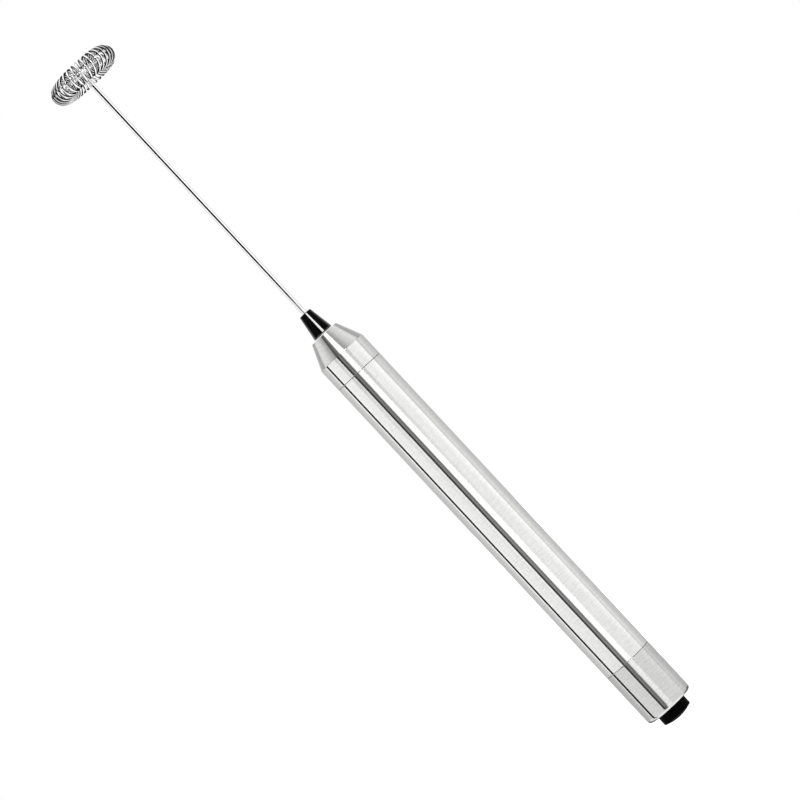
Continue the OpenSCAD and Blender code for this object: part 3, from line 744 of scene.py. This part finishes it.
def make_plug():
    """The plug that fits the tube, with a collar in the cap and a groove for each O-ring."""
    plug, z0, z1 = size_of("cap_plug")
    shell_r, shell_top = size_of("end_cap_shell")[::2]
    collar = shell_r - SHELL_WALL - FIT
    outer, planes = o_ring_places()
    groove = outer - 2 * O_RING_R
    half = O_RING_R + FIT
    edge, groove_edge, seat_edge = 0.05 * MM, 0.06 * MM, 0.08 * MM
    corners = [(PLUG_BORE, z0, 0), (collar, z0, 0), (collar, shell_top, edge), (plug, shell_top, edge)]
    for z in planes.values():
        corners += [
            (plug, z - half, groove_edge), (groove, z - half, 0), (groove, z + half, 0),
            (plug, z + half, groove_edge)
        ]
    seat = size_of("battery_spring")[2] - 0.2 * MM
    lathe("cap_plug_moulded", corners + [
        (plug, z1, edge), (SLEEVE_BORE, z1, edge), (SLEEVE_BORE, seat, edge), (PLUG_BORE, seat, seat_edge)
    ], "cap_plug", "end_cap")


def make_o_rings(segments=160):
    """The two O-rings in the plug's grooves."""
    outer, planes = o_ring_places()
    angles = np.linspace(0, 2 * math.pi, segments, endpoint=False)
    out = np.stack([np.cos(angles), np.sin(angles), np.zeros(segments)], axis=1)
    for place, z in planes.items():
        path = out * (outer - O_RING_R) + np.array((0, 0, z))
        sweep("cap_o_ring_" + place, path, out, O_RING_R, "cap_o_rings", "end_cap", sides=20, closed=True)


def make_contact_ring():
    """The stamped contact ring on the end of the plug."""
    plug = size_of("cap_plug")[0]
    z0, z1 = size_of("cap_contact_ring")[1:]
    bore = SLEEVE_BORE + FIT
    lathe("cap_contact_ring_stamped", [
        (bore, z0, 0), (plug, z0, 0.04 * MM), (plug, z1, 0.1 * MM), (bore, z1, 0.06 * MM)
    ], "cap_contact_ring", "end_cap")


def make_button():
    """A hollow button with a domed crown, a rounded rim and the flange that keeps it in the cap."""
    flange, z0, z1 = size_of("button")
    r = flange - FLANGE_LEDGE
    crown_height, crown_steps, crown_share = 1.1 * MM, 7, 0.93
    crown_r = (r * r + crown_height**2) / (2 * crown_height)
    dome = []
    for k in range(crown_steps + 1):
        radius = r * crown_share * k / crown_steps
        dome.append((radius, z0 + crown_r - math.sqrt(crown_r**2 - radius**2), 0))
    wall, boss, boss_height, floor_z = 1.0 * MM, 2.0 * MM, 1.8 * MM, z0 + 2.4 * MM
    lathe("button_moulded", dome + [
        (r, z0 + crown_height, 0.35 * MM), (r, z1 - FLANGE_HEIGHT, 0.05 * MM),
        (flange, z1 - FLANGE_HEIGHT, 0.1 * MM), (flange, z1, 0.1 * MM),
        (r - wall, z1, 0.1 * MM), (r - wall, floor_z, 0.3 * MM), (boss, floor_z, 0.1 * MM),
        (boss, floor_z + boss_height, 0.1 * MM), (0, floor_z + boss_height, 0)
    ], "button", "button")


def spring_path(radius0, radius1, z0, z1, turns, wire_r, steps=28, clear=1.08):
    """A wound spring about Z, radius0 at the bottom and radius1 at the top.

    The turn at each end rises only by clear times the wire's thickness.
    """
    close_rise = 2 * wire_r * clear
    low, high = z0 + wire_r, z1 - wire_r
    rise = (high - low - 2 * close_rise) / (turns - 2)
    turn = np.arange(turns * steps + 1) / steps
    z = low + np.interp(
        turn, [0, 1, turns - 1, turns], [0, close_rise, close_rise + (turns - 2) * rise, high - low]
    )
    radius = radius0 + (radius1 - radius0) * turn / turns
    angle = turn * 2 * np.pi
    path = np.stack([radius * np.cos(angle), radius * np.sin(angle), z], axis=1)
    across = np.stack([np.cos(angle), np.sin(angle), np.zeros(len(turn))], axis=1)
    return path, across


def make_springs():
    """The conical battery spring, and the button's return spring, on a mesh of its own."""
    wide, narrow = 5.7 * MM, 3.2 * MM
    low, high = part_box("battery_spring")
    path, across = spring_path(wide, narrow, low.z, high.z, 6, BATTERY_WIRE_R)
    sweep("battery_spring_wound", path, across, BATTERY_WIRE_R, "battery_spring", "end_cap", sides=14)
    low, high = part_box("button_spring")
    path, across = spring_path(narrow, narrow, low.z, high.z, 7, BUTTON_WIRE_R)
    spring = sweep("button_spring_wound", path, across, BUTTON_WIRE_R, "button_spring", "end_cap", sides=12)
    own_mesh(spring)


# ---- Cells ----

def make_cell(which):
    """One cell: its can with a dished bottom, its shrunk film, its washer and the raised terminal."""
    r, z0, z1 = size_of(which + "_cell_can")
    dish, dish_r, foot_r = 0.25 * MM, 3.2 * MM, 3.8 * MM
    lathe(which + "_cell_can_drawn", [
        (0, z0 + dish, 0), (dish_r, z0 + dish, 0.2 * MM), (foot_r, z0, 0.2 * MM),
        (r, z0, 0.45 * MM), (r, z1, 0.3 * MM), (0, z1, 0)
    ], which + "_cell_can", "cells")
    r, z0, z1 = size_of(which + "_cell_jacket")
    inner = r - JACKET
    lathe(which + "_cell_jacket_shrunk", [
        (inner, z0, 0.03 * MM), (r, z0, 0.05 * MM), (r, z1, 0.06 * MM), (inner, z1, 0.02 * MM)
    ], which + "_cell_jacket", "cells")
    r, z0, z1 = size_of(which + "_cell_washer")
    hole = size_of(which + "_cell_terminal")[0] + 0.02 * MM
    lathe(which + "_cell_washer_cut", [
        (hole, z0, 0), (r, z0, 0), (r, z1, 0.08 * MM), (hole, z1, 0.04 * MM)
    ], which + "_cell_washer", "cells")
    r, z0, z1 = size_of(which + "_cell_terminal")
    lathe(which + "_cell_terminal_drawn", [
        (0, z0, 0), (r, z0, 0.1 * MM), (r, z1, 0.3 * MM), (0, z1, 0)
    ], which + "_cell_terminal", "cells")


make_camera()
make_world()
make_floor()
make_sun()
dress_frame()
make_tube()
make_nose()
make_coupling()
make_whisk_wire()
make_whisk_coil()
make_cap()
make_plug()
make_o_rings()
make_contact_ring()
make_button()
make_springs()
for which in ("lower", "upper"):
    make_cell(which)

bpy.context.scene.view_settings.view_transform = "Standard"
